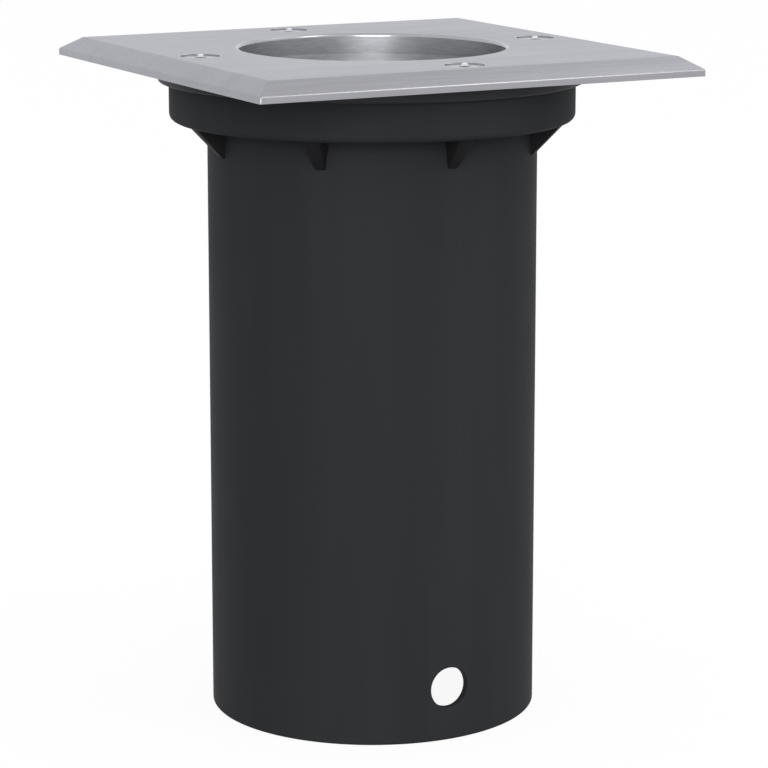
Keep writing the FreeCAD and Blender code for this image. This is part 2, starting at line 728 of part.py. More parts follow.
def terminal_block():
    half_l = BLOCK_L * HALF
    body = box((-half_l, block_far_y, floor_z), (half_l, BLOCK_NEAR_Y, block_top_z))
    step_z = block_top_z - BLOCK_STEP_H
    cuts = [
        box((-half_l, BLOCK_NEAR_Y - BLOCK_STEP_D, step_z), (half_l, BLOCK_NEAR_Y, block_top_z)),
        box((-half_l, block_far_y, step_z), (half_l, block_far_y + BLOCK_STEP_D, block_top_z)),
    ]
    body = body.cut(cuts)
    holes = []
    for x in pole_places():
        holes.append(along_y(
            CLAMP_R + CLAMP_GAP, block_far_y + CLAMP_INSET, BLOCK_NEAR_Y - CLAMP_INSET, x, clamp_z))
        holes.append(along_y(CLAMP_R - CLAMP_STOP, block_far_y, BLOCK_NEAR_Y, x, clamp_z))
        for y in clamp_screw_ys():
            holes.append(cylinder(
                CLAMP_SCREW_R + CLAMP_SCREW_GAP, clamp_z, block_top_z, x, y))
    holes.append(cylinder(
        BLOCK_SCREW_R + BLOCK_HOLE_GAP, floor_z, block_top_z, BLOCK_SCREW_X, block_mid_y))
    holes.append(cylinder(
        BLOCK_SCREW_HEAD_R + BLOCK_HOLE_GAP, block_screw_seat_z(), block_top_z,
        BLOCK_SCREW_X, block_mid_y))
    return body.cut(holes)


def block_screw_seat_z():
    return block_top_z - BLOCK_SCREW_HEAD_H - BLOCK_HOLE_GAP


def terminal_clamps():
    """Brass tube of each pole, tapped from above for its two clamp screws."""
    clamps = []
    for x in pole_places():
        tube = along_y(CLAMP_R, block_far_y + CLAMP_INSET, BLOCK_NEAR_Y - CLAMP_INSET, x, clamp_z)
        tube = tube.cut(along_y(CLAMP_BORE_R, block_far_y, BLOCK_NEAR_Y, x, clamp_z))
        for y in clamp_screw_ys():
            tube = tube.cut(cylinder(
                CLAMP_SCREW_R + THREAD_GAP, clamp_z, clamp_z + 2 * CLAMP_R, x, y))
        clamps.append(tube)
    return Part.makeCompound(clamps)


def terminal_screws():
    screws = []
    top_z = block_top_z - BLOCK_STEP_H - CLAMP_SCREW_SUNK
    for x in pole_places():
        for y in clamp_screw_ys():
            screw = cylinder(CLAMP_SCREW_R, clamp_z + WIRE_R + THREAD_GAP, top_z, x, y)
            slot = box(
                (x - CLAMP_SCREW_R, y - SLOT_W * HALF, top_z - SLOT_DEPTH),
                (x + CLAMP_SCREW_R, y + SLOT_W * HALF, top_z))
            screws.append(screw.cut(slot))
    return Part.makeCompound(screws)


def block_screw():
    seat_z = block_screw_seat_z()
    return pan_screw(
        BLOCK_SCREW_R, BLOCK_SCREW_HEAD_R, BLOCK_SCREW_HEAD_H, seat_z,
        seat_z - floor_z + BLOCK_SCREW_BITE, BLOCK_SCREW_X, block_mid_y)


# --- wires and earth -----------------------------------------------------------------
def lamp_wire(x):
    """From a holder contact straight down and round into its terminal pole."""
    start = FreeCAD.Vector(x, 0, crimp_end_z)
    corner = FreeCAD.Vector(x, 0, clamp_z)
    end = FreeCAD.Vector(x, BLOCK_NEAR_Y - CLAMP_INSET - WIRE_IN_CLAMP, clamp_z)
    return tube_along(quarter_bend(start, corner, end, WIRE_BEND_R), WIRE_R)


def live_wire():
    return lamp_wire(LEAD_X)


def neutral_wire():
    return lamp_wire(-LEAD_X)


def earth_direction():
    """Slanting way from the earth boss towards the middle pole's line."""
    return FreeCAD.Vector(1, -1, 0).normalize()


def earth_barrel_end():
    boss = FreeCAD.Vector(earth_x, earth_y, clamp_z)
    return boss + earth_direction() * (EARTH_BOSS_R + EARTH_BARREL_GAP + EARTH_BARREL_L)


def earth_wire():
    corner = FreeCAD.Vector(0, earth_y + earth_x, clamp_z)
    end = FreeCAD.Vector(0, BLOCK_NEAR_Y - CLAMP_INSET - WIRE_IN_CLAMP, clamp_z)
    return tube_along(quarter_bend(earth_barrel_end(), corner, end, EARTH_BEND_R), WIRE_R)


def earth_ring_terminal():
    """Ring under the earth screw with a round crimp barrel towards the wire."""
    way = earth_direction()
    boss = FreeCAD.Vector(earth_x, earth_y, clamp_z)
    low_z = earth_boss_top_z
    disc = cylinder(EARTH_RING_R, low_z, low_z + EARTH_RING_T, earth_x, earth_y)
    barrel_from = EARTH_BOSS_R + EARTH_BARREL_GAP
    barrel = Part.makeCylinder(
        EARTH_BARREL_R, EARTH_BARREL_L, boss + way * barrel_from, way)
    hole = cylinder(
        EARTH_SCREW_R + EARTH_HOLE_GAP, low_z, low_z + EARTH_RING_T, earth_x, earth_y)
    return disc.fuse(barrel).cut(hole)


def earth_screw():
    seat_z = earth_boss_top_z + EARTH_RING_T
    return pan_screw(
        EARTH_SCREW_R, EARTH_SCREW_HEAD_R, EARTH_SCREW_HEAD_H, seat_z,
        EARTH_SCREW_L, earth_x, earth_y)


# --- cable gland -------------------------------------------------------------------
def gland_body():
    y = GLAND_Y
    nut_top_z = floor_z + LOCKNUT_H
    body = cylinder(GLAND_THREAD_R, gland_hex_top_z, nut_top_z + LOCKNUT_THREAD_SHOWN, 0, y)
    body = body.fuse([
        hexagon(GLAND_HEX_AF, gland_hex_base_z, gland_hex_top_z, 0, y),
        cylinder(GLAND_NECK_R, gland_neck_end_z, gland_hex_base_z, 0, y),
    ])
    return body.cut([
        cylinder(GLAND_BORE_R, seal_top_z, nut_top_z + LOCKNUT_THREAD_SHOWN, 0, y),
        cylinder(SEAL_R + SEAL_SEAT_GAP, gland_neck_end_z, seal_top_z, 0, y),
    ])


def gland_washer():
    return ring(
        WASHER_R, GLAND_THREAD_R + WASHER_GAP, gland_hex_top_z, pot_base_z, 0, GLAND_Y)


def gland_locknut():
    nut = hexagon(LOCKNUT_AF, floor_z, floor_z + LOCKNUT_H, 0, GLAND_Y)
    return nut.cut(cylinder(
        GLAND_THREAD_R + THREAD_GAP, floor_z, floor_z + LOCKNUT_H, 0, GLAND_Y))


def gland_seal():
    return ring(SEAL_R, SEAL_BORE_R, seal_base_z, seal_top_z, 0, GLAND_Y)


def gland_cap():
    """Domed compression nut with the cable's mouth."""
    y = GLAND_Y
    top_z = cap_base_z + CAP_H
    corner_r = hex_corner_r(CAP_AF)
    cap = hexagon(CAP_AF, cap_base_z, top_z, 0, y)
    dome = cone(CAP_TIP_R, corner_r, cap_base_z, cap_base_z + CAP_CONE_H, 0, y)
    cap = cap.common(dome.fuse(cylinder(corner_r, cap_base_z + CAP_CONE_H, top_z, 0, y)))
    return cap.cut([
        cylinder(GLAND_NECK_R + THREAD_GAP, seal_base_z, top_z, 0, y),
        cylinder(CAP_BORE_R, cap_base_z, seal_base_z, 0, y),
    ])


NODES = {
    "mounting_sleeve": mounting_sleeve,
    "cover_plate": cover_plate,
    "cover_screws": cover_screws,
    "lens_gasket": lens_gasket,
    "lens_glass": lens_glass,
    "lamp_housing": lamp_housing,
    "lamp_body": lamp_body,
    "lamp_lens": lamp_lens,
    "lamp_base": lamp_base,
    "lamp_pins": lamp_pins,
    "lamp_holder": lamp_holder,
    "holder_contacts": holder_contacts,
    "holder_screws": holder_screws,
    "holder_bracket": holder_bracket,
    "bracket_screws": bracket_screws,
    "terminal_block": terminal_block,
    "terminal_clamps": terminal_clamps,
    "terminal_screws": terminal_screws,
    "block_screw": block_screw,
    "live_wire": live_wire,
    "neutral_wire": neutral_wire,
    "earth_wire": earth_wire,
    "earth_ring_terminal": earth_ring_terminal,
    "earth_screw": earth_screw,
    "gland_body": gland_body,
    "gland_washer": gland_washer,
    "gland_locknut": gland_locknut,
    "gland_seal": gland_seal,
    "gland_cap": gland_cap,
}

os.makedirs("parts", exist_ok=True)
for node, make in NODES.items():
    make().exportStep(os.path.join("parts", node + ".step"))
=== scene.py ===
import math

import bmesh
import bpy
from mathutils import Matrix, Vector


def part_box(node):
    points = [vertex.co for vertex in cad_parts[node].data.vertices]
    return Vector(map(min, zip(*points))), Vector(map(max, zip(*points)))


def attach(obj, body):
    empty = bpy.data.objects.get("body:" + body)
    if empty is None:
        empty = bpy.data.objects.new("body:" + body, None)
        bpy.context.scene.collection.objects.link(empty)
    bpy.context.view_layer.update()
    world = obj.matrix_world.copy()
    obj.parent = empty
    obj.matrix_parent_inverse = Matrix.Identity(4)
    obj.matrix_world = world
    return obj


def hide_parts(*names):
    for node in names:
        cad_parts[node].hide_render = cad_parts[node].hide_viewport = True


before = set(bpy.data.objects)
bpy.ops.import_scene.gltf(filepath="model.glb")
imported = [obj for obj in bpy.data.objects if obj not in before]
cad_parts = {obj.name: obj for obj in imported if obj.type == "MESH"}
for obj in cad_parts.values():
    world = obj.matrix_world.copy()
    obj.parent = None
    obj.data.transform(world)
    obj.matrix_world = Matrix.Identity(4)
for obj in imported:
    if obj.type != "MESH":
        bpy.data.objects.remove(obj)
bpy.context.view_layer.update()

# --- sizes ------------------------------------------------------------------------
# Outlines are in millimetres and become metres where a mesh is made. Most heights at
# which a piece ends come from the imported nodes' boxes. The other sizes are written out.
MM = 0.001
ROUND_SEGMENTS = 256
SMALL_SEGMENTS = 64
HEX_SIDES = 6
ARC_STEPS = 5
SHARP_ANGLE = math.radians(32)
MERGE = 1e-7                    # metres
CLEAR = 1.0                     # how far a cutter reaches beyond what it cuts
BITE = 1.0                      # how far joined solids run into each other


def box_mm(node):
    low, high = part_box(node)
    return low / MM, high / MM


_, plate_high = box_mm("cover_plate")
_, sleeve_high = box_mm("mounting_sleeve")
housing_low, housing_high = box_mm("lamp_housing")
glass_low, glass_high = box_mm("lens_glass")
gasket_low, gasket_high = box_mm("lens_gasket")
screw_low, _ = box_mm("cover_screws")
lamp_low, lamp_high = box_mm("lamp_body")
lens_low, lens_high = box_mm("lamp_lens")
gland_low, gland_high = box_mm("gland_body")
cap_low, cap_high = box_mm("gland_cap")
washer_low, washer_high = box_mm("gland_washer")
seal_low, seal_high = box_mm("gland_seal")

PLATE_HALF = plate_high.x
PLATE_TOP = plate_high.z
PLATE_T = 4.3
PLATE_BASE = PLATE_TOP - PLATE_T
EDGE_H = 1.5
EDGE_ROUND = 0.7
BEVEL_RUN = 4.35
BEVEL_ROUND = 0.5
CORNER_ROUND = 0.5
CORNER_STEPS = 6
APERTURE_R = 30.5
APERTURE_ROUND = 0.8
LIP_STEPS = 8
RIM_R = 31.9                    # outside of the aperture's wall, which stands on the glass
RELIEF_R = 50.0
RELIEF_DEPTH = 0.4

SCREW_COUNT = 4
SCREW_CIRCLE = 43.3
SCREW_R = 2.0
SCREW_HEAD_R = 4.2
SCREW_SUNK = 0.35
SCREW_TOP = PLATE_TOP - SCREW_SUNK
SCREW_RIM_H = 0.4
SCREW_RIM = SCREW_TOP - SCREW_RIM_H
SCREW_NECK = SCREW_RIM - (SCREW_HEAD_R - SCREW_R)
SINK_R = 4.5
SINK_GAP = 0.25
SINK_EDGE = 0.12
SOCKET_ACROSS = 2.5
SOCKET_R = SOCKET_ACROSS / math.sqrt(3)
SOCKET_DEPTH = 1.4
SOCKET_FLOOR = SCREW_TOP - SOCKET_DEPTH
SOCKET_DISH = 0.3
SOCKET_MOUTH_H = 0.15
SOCKET_FLARE = 0.35
SOCKET_CLEAR = 0.05

TUBE_R = 38.0
WALL = 2.0
COLLAR_R = 46.7
COLLAR_H = 9.1
COLLAR_BASE = sleeve_high.z - COLLAR_H
RIB_COUNT = 8
RIB_DROP = 7.0
RIB_FOOT_REACH = 0.4
RIB_FOOT_T = 2.2
RIB_REACH = 7.0
RIB_TOP_T = 4.0
RIB_EDGE = 0.25
HOLE_R = 4.7
HOLE_Z = 12.3
HOLE_FLARE = 0.35
HOLE_ROUND = 0.5

GLASS_EDGE = 0.5
GASKET_BORE_R = 32.3

POT_TOP_R = 34.2
POT_FOOT_R = 33.2
POT_FLOOR = 54.0
BORE_TOP_R = 32.0
BORE_FOOT_R = 31.0
HEAD_R = 41.0
HEAD_H = 6.5
HEAD_BASE = sleeve_high.z - HEAD_H
POCKET_R = 36.7
POCKET_FLOOR = gasket_low.z

BOSS_BITE = 1.5
BOSS_EDGE = 0.3
EARTH_PLACE = (-18.95, 17.06)
EARTH_BOSS_R = 3.2
EARTH_BOSS_TOP = 60.6
EARTH_HOLE_R = 1.8
EARTH_HOLE_BASE = 55.6
FOOT_PLACES = ((-24.4, 0), (24.4, 0))
FOOT_BOSS_R = 3.4
FOOT_BOSS_TOP = 56.0
FOOT_HOLE_R = 1.55
FOOT_HOLE_BASE = 52.3
BLOCK_PLACE = (4.0, -13.5)
BLOCK_HOLE_R = 1.3
BLOCK_HOLE_BASE = 52.0
COVER_HOLE_R = 2.05
COVER_HOLE_SPARE = 0.2

LAMP_WALL = 1.6
LAMP_NECK_R = 12.6
LAMP_RIM_H = 6.0
LAMP_BOWL_DEPTH = 30.4
GROOVE_COUNT = 16
GROOVE_W = 1.6
GROOVE_DEPTH = 1.0
GROOVE_FOOT = 6.0
FRONT_RIM_W = 1.6
FRONT_DISH_IN = 2.1
FRONT_DISH = 0.5

GLAND_PLACE = (0, 15.0)
GLAND_HOLE_R = 8.0
GLAND_HEX_ACROSS = 22.0
GLAND_HEX_H = 5.0
GLAND_NECK_R = 7.6
GLAND_STEM_R = 7.9
GLAND_SEAT_R = 6.05             # round the cable's seal
GLAND_CABLE_R = 4.8
THREAD_PITCH = 1.5
THREAD_DEPTH = 0.35
THREAD_CREST = (0.4, 0.6)       # where the ridge is full, as shares of the pitch
WASHER_R = 10.6
WASHER_BORE_R = 8.0
SEAL_R = 6.0
SEAL_BORE_R = 4.0
CAP_HEX_ACROSS = 20.0
CAP_FACE_R = 7.0
CAP_DOME_H = 3.5
CAP_FLARE_R = 5.3
CAP_FLARE_H = 0.6
CAP_MOUTH_R = 4.5
CAP_THREAD_R = 7.65
CROWN_RUN = 1.2
CAP_CROWN_RUN = 1.1
CROWN_H = 0.8
CROWN_CLEAR = 0.1
END_CLEAR = 0.01


# --- mesh helpers -----------------------------------------------------------------
def rounded_path(corners, closed=True):
    """Points of an outline whose corners (u, v, rounding) are turned into arcs."""
    out = []
    count = len(corners)
    for i, (u, v, radius) in enumerate(corners):
        here = Vector((u, v))
        inner = closed or 0 < i < count - 1
        if radius <= 0 or not inner:
            out.append((u, v))
            continue
        before = (Vector(corners[i - 1][:2]) - here).normalized()
        after = (Vector(corners[(i + 1) % count][:2]) - here).normalized()
        half = before.angle(after) / 2
        setback = radius / math.tan(half)
        centre = here + (before + after).normalized() * (radius / math.sin(half))
        start = here + before * setback - centre
        end = here + after * setback - centre
        turn = start.angle_signed(end)
        for step in range(ARC_STEPS + 1):
            angle = -turn * step / ARC_STEPS
            out.append(tuple(centre + Matrix.Rotation(angle, 2) @ start))
    return out


def new_object(name, data):
    obj = bpy.data.objects.new(name, data)
    bpy.context.scene.collection.objects.link(obj)
    return obj


def discard(obj):
    mesh = obj.data
    bpy.data.objects.remove(obj)
    bpy.data.meshes.remove(mesh)


def from_bmesh(name, bm):
    bmesh.ops.remove_doubles(bm, verts=bm.verts, dist=MERGE)
    bmesh.ops.dissolve_degenerate(bm, edges=bm.edges, dist=MERGE)
    bmesh.ops.recalc_face_normals(bm, faces=bm.faces)
    mesh = bpy.data.meshes.new(name)
    bm.to_mesh(mesh)
    bm.free()
    return new_object(name, mesh)


def loop_skin(bm, rings, wrap):
    """Quads between rings of vertices; wrap joins the last ring to the first."""
    pairs = list(zip(rings, rings[1:]))
    if wrap:
        pairs.append((rings[-1], rings[0]))
    for lower, upper in pairs:
        count = len(lower)
        for i in range(count):
            j = (i + 1) % count
            bm.faces.new([lower[i], lower[j], upper[j], upper[i]])


def skin_and_cap(bm, rings):
    """Side faces between the rings, and a face on each end."""
    loop_skin(bm, rings, False)
    bm.faces.new(list(reversed(rings[0])))
    bm.faces.new(rings[-1])


def lathe(name, outline, segments=ROUND_SEGMENTS, centre=(0, 0)):
    """Solid of revolution about an upright axis from a closed (radius, height) outline."""
    bm = bmesh.new()
    rings = []
    for r, z in outline:
        ring = []
        for i in range(segments):
            angle = 2 * math.pi * i / segments
            ring.append(bm.verts.new((
                (centre[0] + r * math.cos(angle)) * MM,
                (centre[1] + r * math.sin(angle)) * MM,
                z * MM)))
        rings.append(ring)
    loop_skin(bm, rings, True)
    return from_bmesh(name, bm)


def drum(name, radius, low, high, segments=SMALL_SEGMENTS, centre=(0, 0), edge=0.0):
    """Upright round bar, or a hexagonal one with six segments."""
    return lathe(name, rounded_path([
        (0, low, 0), (radius, low, edge), (radius, high, edge), (0, high, 0),
    ]), segments, centre)


def square_loft(name, levels, corner_r):
    """Solid whose level outlines are squares with rounded corners: (half side, height)."""
    bm = bmesh.new()
    rings = []
    for half, z in levels:
        ring = []
        for quarter in range(4):
            sx = (1, -1, -1, 1)[quarter]
            sy = (1, 1, -1, -1)[quarter]
            for step in range(CORNER_STEPS + 1):
                angle = math.pi / 2 * (quarter + step / CORNER_STEPS)
                ring.append(bm.verts.new((
                    (sx * (half - corner_r) + corner_r * math.cos(angle)) * MM,
                    (sy * (half - corner_r) + corner_r * math.sin(angle)) * MM,
                    z * MM)))
        rings.append(ring)
    skin_and_cap(bm, rings)
    return from_bmesh(name, bm)


def wedge(name, levels, edge=0.0):
    """Block along +X from level outlines (inner x, outer x, width, height)."""
    bm = bmesh.new()
    rings = []
    for inner, outer, width, z in levels:
        half = width / 2
        corners = [(inner, -half), (outer, -half), (outer, half), (inner, half)]
        rings.append([bm.verts.new((x * MM, y * MM, z * MM)) for x, y in corners])
    skin_and_cap(bm, rings)
    if edge > 0:
        bmesh.ops.bevel(
            bm, geom=bm.edges[:], offset=edge * MM, segments=3, profile=0.5,
            affect="EDGES", clamp_overlap=True)
    return from_bmesh(name, bm)


def combine(target, tool, operation):
    """Boolean of two solids, applied at once; the tool is deleted."""
    modifier = target.modifiers.new("cut", "BOOLEAN")
    modifier.operation = operation
    modifier.solver = "EXACT"
    modifier.object = tool
    bpy.context.view_layer.update()
    graph = bpy.context.evaluated_depsgraph_get()
    mesh = bpy.data.meshes.new_from_object(target.evaluated_get(graph))
    target.modifiers.clear()
    old = target.data
    target.data = mesh
    bpy.data.meshes.remove(old)
    discard(tool)


def gather(name, objects):
    """One object from several that don't touch each other."""
    bm = bmesh.new()
    for obj in objects:
        bm.from_mesh(obj.data)
        discard(obj)
    return from_bmesh(name, bm)


def ring_of(name, make, count):
    """Copies of a piece, turned evenly about the upright axis."""
    copies = []
    for step in range(count):
        copy = make()
        copy.data.transform(Matrix.Rotation(2 * math.pi * step / count, 4, "Z"))
        copies.append(copy)
    return gather(name, copies)


def smooth(obj):
    """Smooth shading that leaves the sharp edges sharp."""
    mesh = obj.data
    mesh.polygons.foreach_set("use_smooth", [True] * len(mesh.polygons))
    mesh.set_sharp_from_angle(angle=SHARP_ANGLE)


def split_polygons(obj):
    """Triangles in place of many-sided faces, without the empty ones that leaves."""
    bm = bmesh.new()
    bm.from_mesh(obj.data)
    bmesh.ops.triangulate(bm, faces=[face for face in bm.faces if len(face.verts) > 4])
    bmesh.ops.dissolve_degenerate(bm, edges=bm.edges, dist=MERGE)
    bm.to_mesh(obj.data)
    bm.free()


def dress(obj, body, slot, node, *materials):
    """Clean faces, smooth shading, materials, its body and the node it replaces. The slot
    argument is not used."""
    split_polygons(obj)
    smooth(obj)
    obj.data.materials.clear()
    for material in materials:
        obj.data.materials.append(material)
    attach(obj, body)
    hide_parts(node)


def paint(obj, zone):
    """Gives each face the material whose number zone says. It comes after dress, which
    puts all faces back to the first material."""
    for polygon in obj.data.polygons:
        polygon.material_index = zone(polygon)


# --- material helpers -------------------------------------------------------------
def new_material(name):
    """A node material with its principled shader, ready for links."""
    material = bpy.data.materials.new(name)
    material.use_nodes = True
    nodes = material.node_tree.nodes
    links = material.node_tree.links
    return material, nodes, links, nodes["Principled BSDF"]


def object_coords(nodes, links, scale=(1, 1, 1)):
    coords = nodes.new("ShaderNodeTexCoord")
    mapping = nodes.new("ShaderNodeMapping")
    mapping.inputs["Scale"].default_value = scale
    links.new(coords.outputs["Object"], mapping.inputs["Vector"])
    return mapping.outputs["Vector"]


def noise(nodes, links, vector, scale, detail=3.0, rough=0.5):
    texture = nodes.new("ShaderNodeTexNoise")
    texture.inputs["Scale"].default_value = scale
    texture.inputs["Detail"].default_value = detail
    texture.inputs["Roughness"].default_value = rough
    links.new(vector, texture.inputs["Vector"])
    return texture.outputs["Fac"]


def span(nodes, links, value, low, high):
    """Maps a 0..1 value to low..high."""
    ranged = nodes.new("ShaderNodeMapRange")
    ranged.inputs["To Min"].default_value = low
    ranged.inputs["To Max"].default_value = high
    links.new(value, ranged.inputs["Value"])
    return ranged.outputs["Result"]


def tint(nodes, links, value, dark, light):
    """Colour between two colours by a 0..1 value."""
    ramp = nodes.new("ShaderNodeValToRGB")
    ramp.color_ramp.elements[0].position = 0.3
    ramp.color_ramp.elements[1].position = 0.7
    ramp.color_ramp.elements[0].color = (*dark, 1)
    ramp.color_ramp.elements[1].color = (*light, 1)
    links.new(value, ramp.inputs["Fac"])
    return ramp.outputs["Color"]


def bump(nodes, links, shader, height, strength, distance):
    node = nodes.new("ShaderNodeBump")
    node.inputs["Strength"].default_value = strength
    node.inputs["Distance"].default_value = distance
    links.new(height, node.inputs["Height"])
    links.new(node.outputs["Normal"], shader.inputs["Normal"])


def highest(nodes, links, values):
    """The largest of several light path outputs."""
    result = values[0]
    for value in values[1:]:
        larger = nodes.new("ShaderNodeMath")
        larger.operation = "MAXIMUM"
        links.new(result, larger.inputs[0])
        links.new(value, larger.inputs[1])
        result = larger.outputs[0]
    return result


def moulded_plastic(name, dark, light, rough, specular):
    """Moulded plastic: faint flow streaks, fine satin grain and soft gloss changes."""
    gloss_change = 0.06
    material, nodes, links, shader = new_material(name)
    streaks = object_coords(nodes, links, (1.0, 1.0, 0.12))
    flow = noise(nodes, links, streaks, scale=38.0, detail=4.0, rough=0.6)
    plain = object_coords(nodes, links)
    links.new(tint(nodes, links, flow, dark, light), shader.inputs["Base Color"])
    cloud = noise(nodes, links, plain, scale=60.0)
    links.new(
        span(nodes, links, cloud, rough - gloss_change, rough + gloss_change),
        shader.inputs["Roughness"])
    grain = noise(nodes, links, plain, scale=2600.0, detail=2.0, rough=0.6)
    bump(nodes, links, shader, grain, strength=0.25, distance=0.00004)
    shader.inputs["Specular IOR Level"].default_value = specular
    return material


def brushed_steel(name, stretch, dark, light, rough, grain, edge_tint):
    """Brushed stainless: fine hairs, longest along the axis with the smallest stretch,
    over broad soft shading."""
    hair_share = 0.65
    gloss_change = 0.08
    material, nodes, links, shader = new_material(name)
    lines = object_coords(nodes, links, stretch)
    hair = noise(nodes, links, lines, scale=2600.0, detail=4.0, rough=0.65)
    broad = noise(nodes, links, lines, scale=150.0)
    mixed = nodes.new("ShaderNodeMath")
    mixed.operation = "MULTIPLY_ADD"
    mixed.inputs[1].default_value = hair_share
    links.new(hair, mixed.inputs[0])
    links.new(span(nodes, links, broad, 0.0, 1.0 - hair_share), mixed.inputs[2])
    links.new(tint(nodes, links, mixed.outputs[0], dark, light), shader.inputs["Base Color"])
    links.new(
        span(nodes, links, mixed.outputs[0], rough + gloss_change, rough - gloss_change),
        shader.inputs["Roughness"])
    bump(nodes, links, shader, hair, strength=grain, distance=0.00001)
    shader.inputs["Metallic"].default_value = 1.0
    shader.inputs["Specular Tint"].default_value = (*edge_tint, 1)
    return material


def plain_metal(name, dark, light, rough, scale=220.0):
    """Metal with soft changes of colour and gloss and a very fine grain."""
    gloss_change = 0.08
    material, nodes, links, shader = new_material(name)
    plain = object_coords(nodes, links)
    cloud = noise(nodes, links, plain, scale, detail=4.0, rough=0.6)
    links.new(tint(nodes, links, cloud, dark, light), shader.inputs["Base Color"])
    links.new(
        span(nodes, links, cloud, rough + gloss_change, rough - gloss_change),
        shader.inputs["Roughness"])
    grain = noise(nodes, links, plain, scale=2500.0)
    bump(nodes, links, shader, grain, strength=0.15, distance=0.00003)
    shader.inputs["Metallic"].default_value = 1.0
    return material


def coated_cast(name):
    """Powder coat on cast aluminium: tiny orange-peel bumps."""
    material, nodes, links, shader = new_material(name)
    plain = object_coords(nodes, links)
    peel = noise(nodes, links, plain, scale=1400.0, rough=0.6)
    cloud = noise(nodes, links, plain, scale=50.0)
    links.new(
        tint(nodes, links, cloud, (0.026, 0.027, 0.029), (0.032, 0.033, 0.035)),
        shader.inputs["Base Color"])
    links.new(span(nodes, links, cloud, 0.42, 0.55), shader.inputs["Roughness"])
    bump(nodes, links, shader, peel, strength=0.3, distance=0.00005)
    shader.inputs["Specular IOR Level"].default_value = 0.12
    return material


def pebbled_diffuser(name):
    """Frosted lamp front with small pressed pebbles."""
    material, nodes, links, shader = new_material(name)
    plain = object_coords(nodes, links)
    pebbles = nodes.new("ShaderNodeTexVoronoi")
    pebbles.inputs["Scale"].default_value = 420.0
    links.new(plain, pebbles.inputs["Vector"])
    cloud = noise(nodes, links, plain, scale=90.0)
    links.new(
        tint(nodes, links, cloud, (0.80, 0.80, 0.80), (0.88, 0.88, 0.88)),
        shader.inputs["Base Color"])
    frost = noise(nodes, links, plain, scale=300.0)
    links.new(span(nodes, links, frost, 0.25, 0.4), shader.inputs["Roughness"])
    bump(nodes, links, shader, pebbles.outputs["Distance"], strength=0.5, distance=0.0002)
    return material


def clear_glass(name):
    """Toughened glass with a faint film of handling; shadow rays pass straight through."""
    material, nodes, links, shader = new_material(name)
    film = noise(nodes, links, object_coords(nodes, links), scale=55.0, detail=5.0, rough=0.65)
    links.new(span(nodes, links, film, 0.0, 0.06), shader.inputs["Roughness"])
    shader.inputs["Base Color"].default_value = (0.97, 0.98, 0.98, 1)
    shader.inputs["Transmission Weight"].default_value = 1.0
    shader.inputs["IOR"].default_value = 1.5
    path = nodes.new("ShaderNodeLightPath")
    clear = nodes.new("ShaderNodeBsdfTransparent")
    mix = nodes.new("ShaderNodeMixShader")
    links.new(path.outputs["Is Shadow Ray"], mix.inputs["Fac"])
    links.new(shader.outputs["BSDF"], mix.inputs[1])
    links.new(clear.outputs["BSDF"], mix.inputs[2])
    links.new(mix.outputs["Shader"], nodes["Material Output"].inputs["Surface"])
    return material


# --- materials --------------------------------------------------------------------
# Plastics: name, dark, light, roughness, specular level.
BLACK_PLASTIC = moulded_plastic(
    "moulded black plastic", (0.029, 0.030, 0.033), (0.035, 0.037, 0.040), 0.6, 0.03)
# The ribs get a darker copy of the black plastic: painted shade of the collar's overhang, with a
# slightly lower roughness.
RIB_SHADE_PLASTIC = moulded_plastic(
    "smoother black plastic with painted shade", (0.016, 0.016, 0.0175), (0.020, 0.020, 0.022), 0.5, 0.03)
# Brushed and turned steels: name, stretch, dark, light, roughness, grain, edge tint.
STEEL = brushed_steel(
    "brushed stainless", (0.02, 1.0, 1.0), (0.308, 0.309, 0.332), (0.398, 0.400, 0.427),
    0.34, 0.35, (0.94, 0.95, 0.99))
STEEL_BORE = brushed_steel(
    "turned steel bore", (0.1, 0.1, 1.0), (0.235, 0.238, 0.255), (0.355, 0.36, 0.38),
    0.45, 0.3, (0.7, 0.71, 0.74))
STEEL_LIP = brushed_steel(
    "polished steel lip", (0.1, 0.1, 1.0), (0.36, 0.365, 0.39), (0.44, 0.445, 0.47),
    0.2, 0.1, (0.94, 0.95, 0.98))
# Other metals: name, dark, light, roughness, and the scale where it isn't the usual one.
SCREW_STEEL = plain_metal("screw steel", (0.42, 0.42, 0.44), (0.56, 0.56, 0.58), 0.24)
# The sockets get a much darker copy of the screw steel: painted shade in the recesses, with a
# higher roughness.
SOCKET_SHADE_STEEL = plain_metal("screw steel with painted socket shade", (0.13, 0.13, 0.14), (0.22, 0.22, 0.23), 0.4)
CAST_COAT = coated_cast("black powder coat")
BARE_CAST = plain_metal(
    "bare cast aluminium", (0.62, 0.62, 0.63), (0.74, 0.74, 0.75), 0.45, scale=400.0)
GLASS = clear_glass("toughened glass")
RUBBER = moulded_plastic(
    "black rubber", (0.018, 0.018, 0.018), (0.026, 0.026, 0.026), 0.75, 0.1)
SILICONE = moulded_plastic(
    "grey silicone", (0.56, 0.57, 0.58), (0.64, 0.65, 0.66), 0.5, 0.3)
CERAMIC = moulded_plastic(
    "glazed ceramic", (0.72, 0.70, 0.65), (0.78, 0.76, 0.71), 0.22, 0.5)
NYLON = moulded_plastic("natural nylon", (0.66, 0.65, 0.59), (0.74, 0.73, 0.67), 0.5, 0.4)
GLAND_NYLON = moulded_plastic(
    "black nylon", (0.026, 0.026, 0.028), (0.033, 0.033, 0.035), 0.45, 0.15)
LAMP_WHITE = moulded_plastic(
    "lamp white", (0.74, 0.75, 0.76), (0.80, 0.81, 0.82), 0.38, 0.4)
FROSTED = pebbled_diffuser("frosted diffuser")
NICKEL = plain_metal("nickel plate", (0.52, 0.50, 0.46), (0.66, 0.64, 0.60), 0.25)
BRASS = plain_metal("brass", (0.58, 0.42, 0.18), (0.72, 0.55, 0.26), 0.3)
ZINC = plain_metal("zinc plate", (0.48, 0.50, 0.52), (0.66, 0.68, 0.70), 0.36)
